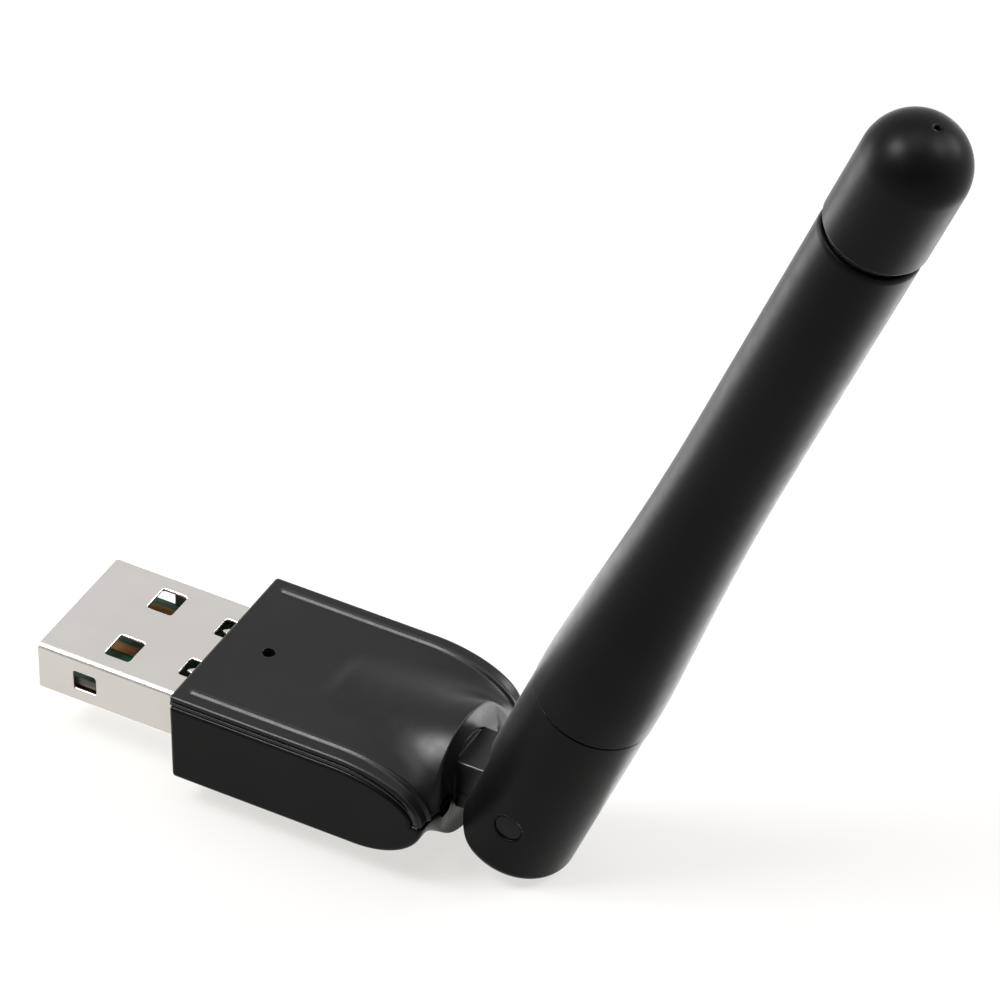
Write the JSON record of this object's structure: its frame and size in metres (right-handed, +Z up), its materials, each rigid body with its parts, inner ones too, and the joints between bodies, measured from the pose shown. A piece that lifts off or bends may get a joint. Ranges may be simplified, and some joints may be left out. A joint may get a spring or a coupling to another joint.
{
  "type": "usb wifi adapter",
  "caption": "USB plug-in wireless adapter with a short black housing and a stick antenna that swivels about the body's axis and tilts on a pin hinge.",
  "frame": {"origin": "centre of the USB plug's section at the housing's front face, where the port's face stops the housing", "axes": "+X from the plug along the body towards the antenna; the plug points along -X; +Y is to the left seen from the plug; +Z up, towards the side with the indicator hole"},
  "size_m": [0.073, 0.0162, 0.079],
  "materials": {
    "black_plastic": "semi-matte moulded ABS with fine spark texture",
    "antenna_plastic": "satin moulded plastic",
    "nickel_steel": "nickel plated, lightly brushed",
    "pin_steel": "blackened steel",
    "board_green": "green solder mask",
    "contact_gold": "gold plated copper",
    "chip_black": "moulded epoxy",
    "ceramic_tan": "fired ceramic with tinned ends",
    "crystal_can": "drawn metal can",
    "led_lens": "clear epoxy lens",
    "cable_black": "thin cable jacket",
    "radiator_brass": "drawn brass tube"
  },
  "bodies": {
    "housing": {"plug_shell": "nickel_steel", "main_board": "board_green", "contact_power": "contact_gold", "contact_data_minus": "contact_gold", "contact_data_plus": "contact_gold", "contact_ground": "contact_gold", "status_led": "led_lens", "wifi_chip": "chip_black", "crystal": "crystal_can", "voltage_regulator": "chip_black", "power_inductor": "chip_black", "capacitor_input": "ceramic_tan", "capacitor_core": "ceramic_tan", "capacitor_crystal": "ceramic_tan", "matching_inductor": "ceramic_tan", "top_cover": "black_plastic", "bottom_case": "black_plastic", "coax_on_board": "cable_black"},
    "neck": {"swivel_neck": "antenna_plastic", "coax_in_neck": "cable_black"},
    "antenna": {"antenna_base": "antenna_plastic", "hinge_pin": "pin_steel", "antenna_sleeve": "antenna_plastic", "antenna_cap": "antenna_plastic", "coax_in_antenna": "cable_black", "radiator_sleeve": "radiator_brass", "radiator_wire": "radiator_brass"}
  },
  "joints": [
    {"name": "antenna_swivel", "type": "hinge", "parent": "housing", "child": "neck", "pos_m": [0.0216, 0, 0], "axis": [1, 0, 0], "range_deg": [-90, 90]},
    {"name": "antenna_tilt", "type": "hinge", "parent": "neck", "child": "antenna", "pos_m": [0.0275, 0, 0], "axis": [0, 1, 0], "range_deg": [-22.5, 67.5]}
  ]
}
